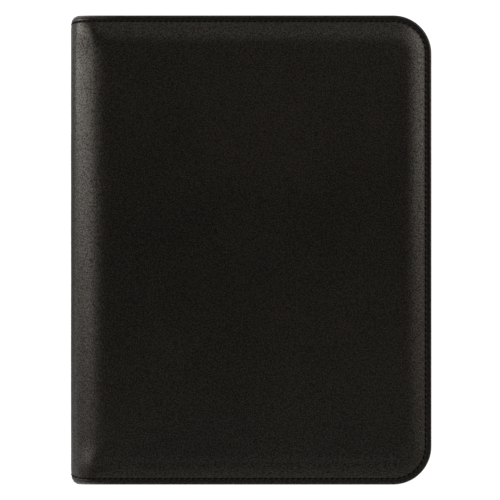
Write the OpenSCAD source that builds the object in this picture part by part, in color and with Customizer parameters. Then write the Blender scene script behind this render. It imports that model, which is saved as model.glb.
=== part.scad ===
// A padded leather ring binder that zips shut on three sides.
// It lies closed on its back cover: the spine is on the left (-X), the head edge at +Y, the front cover on top.

/* [Case] */
// Closed width, from the back of the spine to the free edge
case_w = 260; // [246:1:300]
// Closed height, along the spine
case_h = 338; // [322:1:380]
// Closed thickness over both padded covers
case_t = 42; // [41:0.5:60]
// Radius of the two free corners
corner_r = 27.5; // [25:0.5:40]
// Outer radius where a cover turns into the spine
bend_r = 18; // [15:0.5:19]

/* [Cover layers] */
// Thickness of the leather
leather_t = 1.2; // [0.8:0.1:1.4]
// Thickness of the foam under the leather
foam_t = 2.2; // [1.6:0.1:3]
// Thickness of the stiff board
board_t = 2.0; // [1.4:0.1:3]
// Thickness of the lining cloth
lining_t = 0.6; // [0.4:0.1:0.9]
// Distance from the edge to the seam
seam_inset = 4.0; // [3.4:0.1:5]
// Depth of the groove that the stitches pull in
seam_depth = 0.35; // [0.2:0.05:0.6]
// Distance from the edge to the flat of the padded panel
crown_w = 22; // [16:0.5:24]
// How quickly the padding rises behind the seam, where a smaller value is fuller
crown_power = 0.7; // [0.5:0.05:1]
// Width of the leather turned in behind the edge
turn_w = 10; // [8:0.5:13]
// Thickness of the springy strip inside the spine
stiffener_t = 1.0; // [0.6:0.1:1.2]

/* [Zip] */
// Distance from the edge to the middle of the zip tape
zip_inset = 4.7; // [4.6:0.1:6]
// Thickness of the tape
tape_t = 0.6; // [0.4:0.05:0.8]
// Distance from the middle of the chain to the edge of each tape
tape_edge = 1.7; // [1.5:0.1:2.2]
// Distance from one tooth to the next on the same tape
tooth_pitch = 3.0; // [2.8:0.1:4]
// Width of a tooth along the chain
tooth_w = 1.25; // [1:0.05:1.3]
// Thickness of a tooth through the tape
tooth_t = 2.5; // [2:0.1:2.6]
// How far a tooth reaches past the middle of the chain
tooth_bite = 0.9; // [0.6:0.1:1]
// Length of the jaws that clamp the tape
tooth_jaw = 1.9; // [1.4:0.1:2.2]
// Length of the slider
slider_l = 12; // [11:0.5:14]
// Thickness of each slider wing
wing_t = 0.9; // [0.7:0.1:1]
// Length of the pull tab
puller_l = 25; // [20:1:36]
// Width of the pull tab
puller_w = 7; // [6:0.5:9]
// Thickness of the pull tab
puller_t = 1.3; // [1:0.1:1.4]

/* [Ring mechanism] */
// Inside diameter of the rings
ring_d = 19; // [16:0.5:20]
// Diameter of the ring wire
wire_d = 2.8; // [2.2:0.1:3]
// Distance from one ring to the next
ring_pitch = 107.95; // [80:0.05:112]
// Width of the arched plate
plate_w = 24; // [23:0.5:28]
// Height of the arched plate
plate_h = 8.6; // [8.4:0.1:9.4]
// Height of the straight sides of the plate
plate_side_h = 4.6; // [4.4:0.1:5]
// Sheet thickness of the plate
plate_t = 1.0; // [0.8:0.1:1.2]
// Length of the plate
plate_l = 268; // [240:1:284]
// Thickness of the blades that carry the rings
blade_t = 1.2; // [0.9:0.1:1.3]
// Swing of a blade from shut to open, in degrees
blade_swing = 15; // [10:0.5:16]
// Width of a thumb lever
lever_w = 9; // [7:0.5:10]
// Length of a thumb lever from its pin
lever_l = 15; // [12:0.5:18]
// Lean of a thumb lever above the horizontal, in degrees
lever_lean = 55; // [50:1:65]
// Diameter of the lever pins
pin_d = 2.0; // [1.6:0.1:2.2]
// Distance from the middle of the plate to each rivet
rivet_y = 54; // [40:1:70]
// Diameter of the rivets' shanks
rivet_d = 4.4; // [4:0.1:5]

/* [Inside the front cover] */
// Width of the document pocket
pocket_w = 170; // [120:1:174]
// Height of the document pocket
pocket_h = 196; // [150:1:206]
// Thickness of the pocket cloth
pocket_t = 0.8; // [0.6:0.1:1.2]
// Room inside the document pocket
pocket_room = 1.5; // [1:0.1:3]
// Width of the sewn border of a pocket
pocket_border = 5; // [3:0.5:8]
// Width of the card pockets
card_w = 98; // [94:1:110]
// Height of the deepest card pocket
card_h = 84; // [70:1:92]
// Step from one card pocket's mouth to the next
card_step = 18; // [14:1:20]
// Number of card pockets
card_count = 3; // [1:1:3]
// Room inside each card pocket
card_room = 0.5; // [0.4:0.1:1]
// Inside diameter of the pen loop
pen_d = 11; // [9:0.5:13]
// Length of the pen loop
pen_loop_l = 30; // [20:1:50]
// Thickness of the pen loop's elastic
pen_loop_t = 1.0; // [0.8:0.1:1.4]

/* [Hidden] */
$fn = 64;

black_leather = [0.10, 0.09, 0.085];
black_cloth = [0.07, 0.07, 0.075];
grey_board = [0.55, 0.50, 0.43];
cream_foam = [0.88, 0.84, 0.72];
nickel = [0.78, 0.78, 0.76];
dark_metal = [0.30, 0.29, 0.28];

// Clearances
hinge_gap = 0.4;     // between two leathers where they meet in a bend
layer_gap = 0.2;     // round the board inside the turned edge
tape_gap = 0.4;      // between the end of the tape and the turned edge of the spine
jaw_gap = 0.05;      // between a tooth and the tape that it clamps
slide_gap = 0.2;     // between the slider and what runs in it
pivot_gap = 0.1;     // round the blade beads
pin_gap = 0.05;      // round the lever pins
tip_gap = 0.3;       // between the tips of a shut ring
slot_gap = 0.5;      // round a ring in its slot
seat_gap = 0.3;      // between pieces that lie on each other and part
tab_gap = 3;         // from a stop to the end tab, so that the front stop passes it as the binder opens

// Heights in one cover, measured inwards from its outer face
rim_t = 2 * leather_t;
rim_drop = foam_t + board_t - leather_t;
rim_depth = rim_drop + rim_t;
board_depth = leather_t + foam_t;
cover_t = leather_t + foam_t + board_t + lining_t;

// Places in plan
x_bend = bend_r - case_w / 2;
corner_x = case_w / 2 - corner_r;
corner_y = case_h / 2 - corner_r;
board_inset = turn_w + layer_gap;
mid_z = case_t / 2;
spine_flat = case_t - 2 * bend_r;
half_bend = 45 - hinge_gap / 2 / bend_r * 180 / PI;

// Depth of the padded panel's outer face at a distance from the edge
function pad_depth(d) =
    d >= crown_w ? 0 : rim_drop * (1 - pow(sin(90 * (d - seam_inset) / (crown_w - seam_inset)), crown_power));

// Outline of the leather's edge as [distance from the edge, depth]: turned hem, round edge, seam, crown
edge_steps = 8;
crown_steps = 8;
crown_d = [for (i = [1:crown_steps]) seam_inset + (crown_w - seam_inset) * pow(i / crown_steps, 1.5)];
edge_outside = concat(
    [[turn_w, rim_depth]],
    [for (i = [0:edge_steps]) let (a = 180 * i / edge_steps)
        [leather_t * (1 - sin(a)), rim_drop + leather_t * (1 + cos(a))]],
    [[seam_inset - seam_depth, rim_drop], [seam_inset, rim_drop + seam_depth]],
    [for (d = crown_d) [d, pad_depth(d)]]
);
edge_inside = concat(
    [for (i = [crown_steps - 1:-1:0]) [crown_d[i], pad_depth(crown_d[i]) + leather_t]],
    [[seam_inset, rim_drop + leather_t], [turn_w, rim_drop + leather_t]]
);

// A cover is modelled with its outer face at height 0, then set on top or underneath
module front_side() { translate([0, 0, case_t]) children(); }
module back_side() { mirror([0, 0, 1]) children(); }

// Plan outline of a cover from the spine bend to the free edge, drawn in by an inset
module cover_plan(inset) {
    half_h = case_h / 2 - inset;
    r = corner_r - inset;
    translate([x_bend, -half_h]) square([corner_x - x_bend, 2 * half_h]);
    translate([corner_x, -corner_y]) square([r, 2 * corner_y]);
    for (side = [0, 1]) mirror([0, side]) translate([corner_x, corner_y]) intersection() {
        circle(r);
        square(r);
    }
}

// Carries a section round the three free sides. Its x is the distance from the corner's centre.
module around_rim() {
    translate([corner_x, corner_y, 0]) rotate([90, 0, 0]) linear_extrude(2 * corner_y) children();
    for (side = [0, 1]) mirror([0, side, 0]) translate([corner_x, -corner_y, 0]) {
        rotate([90, 0, -90]) linear_extrude(corner_x - x_bend) children();
        rotate([0, 0, -90]) rotate_extrude(angle = 90) children();
    }
}

// Turns a lengthwise section about the axis of a spine bend. Its x is the radius, its y runs along the spine.
module bend(start, sweep) {
    translate([x_bend, 0, -bend_r]) rotate([90, 0, 0]) rotate([0, 0, start])
        rotate_extrude(angle = sweep) children();
}

// The cover's half of a bend
module cover_bend() { bend(90, half_bend) children(); }

// The spine's half of both bends, and the flat between them
module spine_wrap() {
    front_side() bend(180, -half_bend) children();
    back_side() bend(180, -half_bend) children();
    translate([x_bend, 0, bend_r]) mirror([1, 0, 0]) linear_extrude(spine_flat) children();
}

// Lengthwise section of the leather, hemmed at both ends
module leather_section() {
    function foot(list) = [for (p = list) [bend_r - p[1], p[0] - case_h / 2]];
    function head(list) = [for (i = [len(list) - 1:-1:0]) [bend_r - list[i][1], case_h / 2 - list[i][0]]];
    polygon(concat(foot(edge_outside), head(edge_outside), head(edge_inside), foot(edge_inside)));
}

// Lengthwise section of a strip inside the bend, at a depth, ending where the crown starts
module strip_section(depth, thick) {
    translate([bend_r - depth - thick, crown_w - case_h / 2]) square([thick, case_h - 2 * crown_w]);
}

module cover_leather() {
    around_rim() polygon([for (p = concat(edge_outside, edge_inside)) [corner_r - p[0], -p[1]]]);
    translate([0, 0, -leather_t]) linear_extrude(leather_t) cover_plan(crown_w);
    cover_bend() leather_section();
}

// Foam with the crown's curve on top and the board's face below
module cover_foam() {
    under = [for (d = crown_d) if (pad_depth(d) + leather_t < board_depth) [d, pad_depth(d) + leather_t]];
    around_rim() polygon(concat(
        [for (p = under) [corner_r - p[0], -p[1]]],
        [[corner_r - crown_w, -board_depth], [corner_r - under[0][0], -board_depth]]
    ));
    translate([0, 0, -board_depth]) linear_extrude(foam_t) cover_plan(crown_w);
}

module cover_board() {
    translate([0, 0, -board_depth - board_t]) linear_extrude(board_t) cover_plan(board_inset);
}

// Lining over the board, down its edge and out along the bend
module cover_lining() {
    length = case_h - 2 * crown_w;
    translate([0, 0, -cover_t]) linear_extrude(lining_t) cover_plan(board_inset);
    translate([x_bend - lining_t, -length / 2, -cover_t])
        cube([lining_t, length, cover_t - leather_t - stiffener_t - lining_t / 2]);
    cover_bend() strip_section(leather_t + stiffener_t, lining_t);
}

module front_cover_leather() { color(black_leather) front_side() cover_leather(); }
module back_cover_leather() { color(black_leather) back_side() cover_leather(); }
module front_foam() { color(cream_foam) front_side() cover_foam(); }
module back_foam() { color(cream_foam) back_side() cover_foam(); }
module front_board() { color(grey_board) front_side() cover_board(); }
module front_lining() { color(black_cloth) front_side() cover_lining(); }

module back_board() {
    color(grey_board) difference() {
        back_side() cover_board();
        at_rivets() rivet_hole();
    }
}

module back_lining() {
    color(black_cloth) difference() {
        back_side() cover_lining();
        at_rivets() rivet_hole();
    }
}

module spine_leather() { color(black_leather) spine_wrap() leather_section(); }
module spine_stiffener() { color(grey_board) spine_wrap() strip_section(leather_t, stiffener_t); }
module spine_lining() { color(black_cloth) spine_wrap() strip_section(leather_t + stiffener_t, lining_t); }

// Pockets and pen loop, sewn to the front lining
ceiling = case_t - cover_t;
sew_margin = 2;                    // from the border of the lining to a pocket
pocket_x1 = case_w / 2 - board_inset - sew_margin;
pocket_y0 = board_inset + sew_margin - case_h / 2;
card_y1 = case_h / 2 - board_inset - sew_margin - corner_r / 4;
card_x1 = pocket_x1 - corner_r / 4;
pocket_fit_h = min(pocket_h, card_y1 - card_h - 2 * sew_margin - pocket_y0);
pen_x = pocket_x1 - pocket_w - pen_d / 2 - 3 * pen_loop_t - sew_margin;
pen_y = 60;                        // middle of the pen loop along the spine
pen_z = ceiling - pen_loop_t - pen_d / 2;

// A patch sewn on three sides, with room behind it and its mouth at the head end. Its back is at height 0.
module patch(w, h, room) {
    difference() {
        translate([0, 0, -room - pocket_t]) cube([w, h, room + pocket_t]);
        translate([pocket_border, pocket_border, -room]) cube([w - 2 * pocket_border, h, 2 * room]);
    }
}

module document_pocket() {
    color(black_leather) intersection() {
        translate([pocket_x1 - pocket_w, pocket_y0, ceiling]) patch(pocket_w, pocket_fit_h, pocket_room);
        translate([0, 0, ceiling - pocket_room - 2 * pocket_t])
            linear_extrude(pocket_room + 2 * pocket_t) cover_plan(board_inset + sew_margin);
    }
}

module card_pockets() {
    layer = card_room + pocket_t;
    color(black_leather) for (i = [0:card_count - 1])
        translate([card_x1 - card_w, card_y1 - card_h, ceiling - i * layer])
            patch(card_w, card_h - i * card_step, card_room);
}

module pen_loop() {
    flange = pen_d + 6 * pen_loop_t;
    color(black_cloth) translate([pen_x, pen_y + pen_loop_l / 2, pen_z]) rotate([90, 0, 0])
        linear_extrude(pen_loop_l) difference() {
            union() {
                circle(pen_d / 2 + pen_loop_t);
                translate([-flange / 2, pen_d / 2]) square([flange, pen_loop_t]);
            }
            circle(pen_d / 2);
        }
}

// Zip tape: a flange sewn under the rim, a wall down to the chain, and a lobe that closes the spine's end
lobe_r = bend_r - rim_depth - tape_gap;
wall_r = corner_r - zip_inset;
wall_y = corner_y + wall_r;

module zip_tape() {
    around_rim() {
        translate([wall_r - tape_t / 2, tape_edge - mid_z]) square([tape_t, mid_z - tape_edge - rim_depth]);
        translate([corner_r - turn_w, -rim_depth - tape_t]) square([turn_w - zip_inset + tape_t / 2, tape_t]);
    }
    for (side = [-1, 1]) translate([x_bend, side * wall_y + tape_t / 2, -bend_r]) rotate([90, 0, 0])
        linear_extrude(tape_t) intersection() {
            union() {
                intersection() {
                    circle(lobe_r);
                    translate([-lobe_r, 0]) square(lobe_r);
                }
                translate([-lobe_r, -spine_flat / 2]) square([lobe_r, spine_flat / 2]);
            }
            translate([-lobe_r, tape_edge - spine_flat / 2]) square([lobe_r, case_t]);
        }
}

module front_zip_tape() { color(black_cloth) front_side() zip_tape(); }
module back_zip_tape() { color(black_cloth) back_side() zip_tape(); }

// Place and heading of a point on the chain, at a distance along it from the slider's end
puller_room = 2;                                         // from the tip of a turned pull tab to the spine
slider_x = x_bend - lobe_r + puller_l + puller_room;     // where the slider is parked
chain_x0 = slider_x + slider_l / 2 + slide_gap;          // where the teeth begin
run_l = corner_x - chain_x0;
arc_l = PI / 2 * wall_r;
side_l = 2 * corner_y;
chain_l = 2 * run_l + 2 * arc_l + side_l;

function chain_at(s) =
    s < run_l ? [chain_x0 + s, -wall_y, 0] :
    s < run_l + arc_l ? let (a = (s - run_l) / wall_r * 180 / PI)
        [corner_x + wall_r * sin(a), -corner_y - wall_r * cos(a), a] :
    s < run_l + arc_l + side_l ? [corner_x + wall_r, s - run_l - arc_l - corner_y, 90] :
    s < run_l + 2 * arc_l + side_l ? let (a = 90 + (s - run_l - arc_l - side_l) / wall_r * 180 / PI)
        [corner_x + wall_r * sin(a), corner_y - wall_r * cos(a), a] :
    [corner_x + run_l + 2 * arc_l + side_l - s, wall_y, 180];

// Section of a tooth on the upper tape: two jaws on the tape's edge and a chamfered head
tooth_top = tape_edge + tooth_jaw;
head_chamfer = 0.45;
module tooth_section(reach) {
    slot = tape_t / 2 + jaw_gap;
    half = tooth_t / 2;
    polygon([
        [-half, tooth_top], [-slot, tooth_top], [-slot, tape_edge - jaw_gap],
        [slot, tape_edge - jaw_gap], [slot, tooth_top], [half, tooth_top],
        [half, head_chamfer - reach], [half - head_chamfer, -reach],
        [head_chamfer - half, -reach], [-half, head_chamfer - reach]
    ]);
}

// A piece of a given width that clamps the upper tape, standing across the chain
module clamp_on(place, width, reach) {
    translate([place[0], place[1], mid_z]) rotate([0, 0, place[2]]) rotate([90, 0, 90])
        translate([0, 0, -width / 2]) linear_extrude(width) tooth_section(reach);
}

// The teeth whose place along the chain lies between two distances
module teeth(shift, from, to) {
    for (k = [0:floor(chain_l / tooth_pitch) - 1]) {
        s = (k + shift) * tooth_pitch;
        if (s >= from && s < to) clamp_on(chain_at(s), tooth_w, tooth_bite);
    }
}

// Mirrors what is on the upper tape to the lower one
module lower_tape() { translate([0, 0, case_t]) mirror([0, 0, 1]) children(); }

upper_shift = 0.25;                                      // in pitches, so that the two rows mesh
lower_shift = 0.75;
module front_zip_teeth() { color(dark_metal) teeth(upper_shift, run_l, chain_l); }
module back_zip_teeth() { color(dark_metal) lower_tape() teeth(lower_shift, run_l, chain_l); }
module front_zip_teeth_run() { color(dark_metal) teeth(upper_shift, 0, run_l); }
module back_zip_teeth_run() { color(dark_metal) lower_tape() teeth(lower_shift, 0, run_l); }

// Stops at both ends of the chain, and leather tabs over the tape beyond them
stop_w = 2.2;
stop_reach = -0.4;
stop_x = slider_x - slider_l / 2 - 3.5;
tab_l = 11.5;
tab_h = 9;
tab_x1 = stop_x - stop_w / 2 - tab_gap;
module front_zip_stop() { color(nickel) clamp_on([stop_x, -wall_y, 0], stop_w, stop_reach); }
module back_zip_stop() { color(nickel) lower_tape() clamp_on([stop_x, -wall_y, 0], stop_w, stop_reach); }

// The end stop bridges both tapes at the far end, and the upper tape lifts out of it
module zip_end_stop() {
    end_x = chain_x0 - stop_w;
    color(nickel) {
        clamp_on([end_x, wall_y, 0], stop_w, head_chamfer);
        lower_tape() clamp_on([end_x, wall_y, 0], stop_w, head_chamfer);
    }
}

module zip_end_tabs() {
    color(black_leather) for (side = [0, 1]) mirror([0, side, 0])
        translate([tab_x1 - tab_l, wall_y + tape_t / 2 + seat_gap, mid_z]) rotate([-90, 0, 0])
            linear_extrude(leather_t) {
                translate([0, -tab_h / 2]) square([tab_l - tab_h / 2, tab_h]);
                translate([tab_l - tab_h / 2, 0]) circle(tab_h / 2);
            }
}

// Slider, drawn flat: x along the chain towards the closed teeth, y across it, z out of the wall
wing_z = tooth_t / 2 + slide_gap;
wing_top = wing_z + wing_t;
rail_w = 0.8;
rail_z = tape_t / 2 + slide_gap;
tail_half = tooth_top + slide_gap + rail_w;
mouth_half = tail_half + 0.9;
bar_r = puller_t / 2;
bar_gap = 0.1;
bar_z = wing_top + bar_gap + bar_r;
bridge_z = bar_z + bar_r + bar_gap;
bridge_t = 0.6;
bridge_w = 1.8;
post_in = 2.8;
post_out = 4.0;
eye_l = 5.2;
eye_half = bridge_w / 2 + 0.6;

module on_wall() { translate([slider_x, -wall_y, mid_z]) rotate([90, 0, 0]) children(); }

// Plan of a slider wing, wider at the mouth than at the tail, drawn in by an inset at its sides
module wing_plan(inset) {
    half_l = slider_l / 2;
    polygon([
        [-half_l, -mouth_half + inset + 0.6], [-half_l + 1, -mouth_half + inset], [-1, -mouth_half + inset],
        [2, -tail_half + inset], [half_l - 0.8, -tail_half + inset], [half_l, -tail_half + inset + 0.8],
        [half_l, tail_half - inset - 0.8], [half_l - 0.8, tail_half - inset], [2, tail_half - inset],
        [-1, mouth_half - inset], [-half_l + 1, mouth_half - inset], [-half_l, mouth_half - inset - 0.6]
    ]);
}

// Side rails of one wing, between which the teeth run
module rails() {
    difference() {
        linear_extrude(wing_z - rail_z) wing_plan(0);
        translate([0, 0, -1]) linear_extrude(wing_z + 2) intersection() {
            scale(2) wing_plan(0);
            for (k = [0, 1]) mirror([0, k]) polygon([
                [-slider_l, 0], [-slider_l, mouth_half - rail_w], [-1, mouth_half - rail_w],
                [2, tail_half - rail_w], [slider_l, tail_half - rail_w], [slider_l, 0]
            ]);
        }
    }
}

module zip_slider() {
    diamond_l = 5;
    diamond_half = tape_edge - slide_gap - 0.3;
    color(nickel) on_wall() {
        for (side = [0, 1]) mirror([0, 0, side]) {
            translate([0, 0, wing_z]) linear_extrude(wing_t) wing_plan(0);
            translate([0, 0, rail_z]) rails();
        }
        translate([-slider_l / 2 + 0.6, 0, -wing_z]) linear_extrude(2 * wing_z) polygon([
            [0, -diamond_half / 2], [diamond_l / 3, -diamond_half], [diamond_l, 0],
            [diamond_l / 3, diamond_half], [0, diamond_half / 2]
        ]);
        translate([0, bridge_w / 2, 0]) rotate([90, 0, 0]) linear_extrude(bridge_w) difference() {
            polygon([
                [-post_out - 0.6, wing_top], [-post_out, bridge_z - 0.3], [-post_in, bridge_z + bridge_t],
                [post_in, bridge_z + bridge_t], [post_out, bridge_z - 0.3], [post_out + 0.6, wing_top]
            ]);
            translate([-post_in, wing_top]) square([2 * post_in, bridge_z - wing_top]);
        }
    }
}

module zip_puller() {
    half = puller_w / 2;
    color(nickel) on_wall() translate([0, 0, bar_z]) {
        rotate([90, 0, 0]) translate([0, 0, -half]) cylinder(h = puller_w, r = bar_r);
        translate([0, 0, -puller_t / 2]) linear_extrude(puller_t) difference() {
            union() {
                translate([0, -half]) square([puller_l - half, puller_w]);
                translate([puller_l - half, 0]) circle(half);
            }
            translate([0, -eye_half]) square([eye_l, 2 * eye_half]);
            translate([puller_l - half, 0]) circle(half - 1.6);
        }
    }
}

// Ring mechanism, drawn with x across the plate and height 0 on the back lining
plate_x = x_bend + 1 + plate_w / 2;
module on_floor() { translate([plate_x, 0, cover_t]) children(); }

arch_rise = plate_h - plate_side_h;
arch_r = (plate_w * plate_w / 4 + arch_rise * arch_rise) / 2 / arch_rise;
bead_r = 0.8;
pivot_x = plate_w / 2 - plate_t - bead_r - pivot_gap;
pivot_z = plate_h - arch_r + sqrt(pow(arch_r - plate_t, 2) - pivot_x * pivot_x) - bead_r - 2 * pivot_gap;
blade_w = pivot_x - 0.25;                                // reaches almost to the middle
lip_t = 1.0;
lip_in = 0.4;                                            // how far the lip passes under the bead's centre

ring_r = (ring_d + wire_d) / 2;
ring_z = plate_h + ring_r - 4.5;                         // centre of the rings
ring_from = -51;                                         // where a ring half ends below, in degrees
shank_r = wire_d / 2 - 0.3;
shank_x = ring_r * cos(ring_from);
ring_tip = 90 - asin(tip_gap / 2 / ring_r);

lever_y = plate_l / 2 - 4;
lever_z = 2.6;
hub_r = 2.2;
tongue_l = 4.4;
tongue_t = 1.0;
tab_t = 1.8;
blade_l = 2 * (lever_y - hub_r - slot_gap);

// Section of the arched plate, drawn in by an inset
module arch_section(inset) {
    intersection() {
        translate([-plate_w / 2 + inset, 0]) square([plate_w - 2 * inset, plate_h]);
        translate([0, plate_h - arch_r]) circle(arch_r - inset);
    }
}

// Runs a cross-section along the plate, centred
module along(length) {
    translate([0, length / 2, 0]) rotate([90, 0, 0]) linear_extrude(length) children();
}

module ring_plate() {
    seat_r = bead_r + pivot_gap;
    color(nickel) on_floor() difference() {
        union() {
            along(plate_l) difference() {
                arch_section(0);
                translate([0, -plate_t]) arch_section(plate_t);
                arch_section(plate_t);
            }
            along(blade_l) for (side = [0, 1]) mirror([side, 0]) difference() {
                translate([pivot_x - lip_in, pivot_z - seat_r - lip_t])
                    square([plate_w / 2 - plate_t / 2 - pivot_x + lip_in, seat_r + lip_t]);
                translate([pivot_x, pivot_z]) circle(seat_r);
            }
        }
        for (y = [-1:1], side = [0, 1]) mirror([side, 0, 0])
            translate([shank_x - wire_d, y * ring_pitch - wire_d / 2 - slot_gap, pivot_z + bead_r + pivot_gap])
                cube([pivot_x + bead_r - shank_x + wire_d, wire_d + 2 * slot_gap, plate_h]);
        for (side = [0, 1]) mirror([0, side, 0]) {
            translate([-lever_w / 2 - slot_gap, lever_y - hub_r - slot_gap, plate_side_h - 0.6])
                cube([lever_w + 2 * slot_gap, plate_l, plate_h]);
            translate([-plate_w, lever_y, lever_z]) rotate([0, 90, 0]) cylinder(h = 2 * plate_w, d = pin_d);
        }
        for (side = [-1, 1]) translate([0, side * rivet_y, 0]) cylinder(h = 2 * plate_h, d = rivet_d);
    }
}

// A blade: a bead that turns in the plate's lip, and a strip sloping down to the middle
module right_blade_blank() {
    along(blade_l) translate([pivot_x, pivot_z]) {
        circle(bead_r);
        rotate(blade_swing / 2) translate([-blade_w, -blade_t / 2]) square([blade_w, blade_t]);
    }
}

// The blade as fitted, notched for the rivets and drilled for the ring shanks
module right_blade_shape() {
    difference() {
        right_blade_blank();
        for (side = [-1, 1]) translate([0, side * rivet_y, 0])
            cylinder(h = plate_h, r = rivet_d / 2 + slot_gap);
        for (y = [-1:1]) translate([shank_x, y * ring_pitch, 0]) cylinder(h = plate_h, r = shank_r);
    }
}

// Half a ring of round wire with a straight shank that is staked into the blade
module right_ring(y) {
    shank_top = ring_z + ring_r * sin(ring_from) + shank_r / 2;
    shank_bottom = pivot_z - (pivot_x - shank_x) * tan(blade_swing / 2) - blade_t / 2;
    translate([0, y * ring_pitch, 0]) {
        translate([0, 0, ring_z]) rotate([90, 0, 0]) rotate([0, 0, ring_from])
            rotate_extrude(angle = ring_tip - ring_from) translate([ring_r, 0]) circle(d = wire_d);
        translate([shank_x, 0, shank_bottom]) cylinder(h = shank_top - shank_bottom, r = shank_r);
    }
}

module right_blade() { color(nickel) on_floor() right_blade_shape(); }
module left_blade() { color(nickel) on_floor() mirror([1, 0, 0]) right_blade_shape(); }
module right_ring_half(y) { color(nickel) on_floor() right_ring(y); }
module left_ring_half(y) { color(nickel) on_floor() mirror([1, 0, 0]) right_ring(y); }

// A thumb lever: a hub on its pin, a tongue under the blades and a leaning tab
module lever() {
    color(dark_metal) translate([-lever_w / 2, lever_y, lever_z]) rotate([90, 0, 90]) linear_extrude(lever_w)
        difference() {
            union() {
                circle(hub_r);
                translate([-tongue_l, -hub_r]) square([tongue_l, tongue_t]);
                rotate(lever_lean) {
                    translate([0, -tab_t / 2]) square([lever_l - tab_t / 2, tab_t]);
                    translate([lever_l - tab_t / 2, 0]) circle(tab_t / 2);
                }
            }
            circle(pin_d / 2 + pin_gap);
        }
}

module top_lever() { on_floor() lever(); }
module bottom_lever() { on_floor() mirror([0, 1, 0]) lever(); }

module lever_pins() {
    color(nickel) on_floor() for (side = [-1, 1])
        translate([-plate_w / 2, side * lever_y, lever_z]) rotate([0, 90, 0]) cylinder(h = plate_w, d = pin_d);
}

// Rivets from the crown of the plate down through the lining and the board
rivet_head_d = 8;
rivet_head_h = 1.4;
rivet_tail_t = 0.7;
module at_rivets() { for (side = [-1, 1]) translate([plate_x, side * rivet_y, 0]) children(); }
module rivet_hole() {
    cylinder(h = 2 * cover_t, d = rivet_d);
    cylinder(h = board_depth + rivet_tail_t, d = rivet_head_d);
}

module plate_rivets() {
    head_z = cover_t + plate_h;
    color(nickel) at_rivets() {
        translate([0, 0, board_depth]) cylinder(h = rivet_tail_t, d = rivet_head_d);
        translate([0, 0, board_depth]) cylinder(h = head_z - board_depth, d = rivet_d);
        translate([0, 0, head_z]) cylinder(h = rivet_head_h, d1 = rivet_head_d, d2 = rivet_head_d / 2);
    }
}

front_cover_leather();
front_foam();
front_board();
front_lining();
document_pocket();
card_pockets();
pen_loop();
spine_leather();
spine_stiffener();
spine_lining();
back_cover_leather();
back_foam();
back_board();
back_lining();
front_zip_tape();
back_zip_tape();
front_zip_teeth();
back_zip_teeth();
front_zip_teeth_run();
back_zip_teeth_run();
front_zip_stop();
back_zip_stop();
zip_end_stop();
zip_end_tabs();
zip_slider();
zip_puller();
ring_plate();
plate_rivets();
left_blade();
right_blade();
left_ring_half(-1);  // left_ring_1
left_ring_half(0);  // left_ring_2
left_ring_half(1);  // left_ring_3
right_ring_half(-1);  // right_ring_1
right_ring_half(0);  // right_ring_2
right_ring_half(1);  // right_ring_3
top_lever();
bottom_lever();
lever_pins();
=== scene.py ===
# %% [markdown]
# # A padded leather binder that zips shut
# The hard parts of this binder come from a CAD model: boards, zip teeth, slider, rings and levers.
# Blender adds what a CAD model can't show well: the leather stretched over foam, the thread, the cloth.
# Every piece is built in metres in the CAD model's own frame, so it lands where the CAD says.

import math

import bpy
import numpy as np
from mathutils import Matrix, Vector, noise


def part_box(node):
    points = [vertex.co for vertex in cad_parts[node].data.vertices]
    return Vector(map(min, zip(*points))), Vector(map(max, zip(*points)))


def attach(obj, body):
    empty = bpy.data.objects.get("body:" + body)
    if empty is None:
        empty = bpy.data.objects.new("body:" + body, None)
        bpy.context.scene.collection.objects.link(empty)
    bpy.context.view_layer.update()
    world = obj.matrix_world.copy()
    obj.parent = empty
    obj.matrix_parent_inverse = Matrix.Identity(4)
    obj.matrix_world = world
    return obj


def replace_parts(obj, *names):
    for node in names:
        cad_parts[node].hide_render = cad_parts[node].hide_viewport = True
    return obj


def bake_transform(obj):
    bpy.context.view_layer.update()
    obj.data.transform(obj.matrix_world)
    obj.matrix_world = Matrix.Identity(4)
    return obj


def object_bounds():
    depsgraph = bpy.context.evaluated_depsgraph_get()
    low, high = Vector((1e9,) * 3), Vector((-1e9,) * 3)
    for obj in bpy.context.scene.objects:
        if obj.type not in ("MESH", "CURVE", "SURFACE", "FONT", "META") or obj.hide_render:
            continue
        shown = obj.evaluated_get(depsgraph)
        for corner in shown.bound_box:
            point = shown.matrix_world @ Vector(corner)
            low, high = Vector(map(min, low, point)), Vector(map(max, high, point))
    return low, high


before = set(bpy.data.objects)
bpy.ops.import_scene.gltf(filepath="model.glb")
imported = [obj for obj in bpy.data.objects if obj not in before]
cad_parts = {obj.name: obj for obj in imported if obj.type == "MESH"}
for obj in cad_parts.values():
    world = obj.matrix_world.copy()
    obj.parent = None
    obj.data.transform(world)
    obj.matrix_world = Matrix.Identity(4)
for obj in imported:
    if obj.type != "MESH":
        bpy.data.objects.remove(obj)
cad_low, cad_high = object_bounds()
print("CAD box in mm:", [round(1000 * (b - a), 1) for a, b in zip(cad_low, cad_high)])

# %% [markdown]
# ## Sizes
# The case is 260 mm wide, 338 mm high and 42 mm thick. It lies on its back cover with the spine at -X.
# A pattern cutter thinks of the leather as one flat piece that is wrapped round the case. So a place on it
# is given by `s`, the way along the leather from the middle of the spine, by `y` along the spine, and by
# `depth`, how far a point lies inside the outermost skin. `wrap` turns these three into a place in space.

# %% Sizes and the wrapped leather
MM = 0.001
CASE_W, CASE_H, CASE_T = cad_high[0] - cad_low[0], cad_high[1] - cad_low[1], cad_high[2] - cad_low[2]
CORNER_R = 27.5 * MM
BEND_R = 18 * MM
MID_Z = CASE_T / 2
X_BEND = BEND_R - CASE_W / 2
CORNER_X = CASE_W / 2 - CORNER_R
CORNER_Y = CASE_H / 2 - CORNER_R
S_SPINE = MID_Z - BEND_R
S_PANEL = S_SPINE + math.pi / 2 * BEND_R
S_CORNER = S_PANEL + CORNER_X - X_BEND
SEAM = 4 * MM


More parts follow.
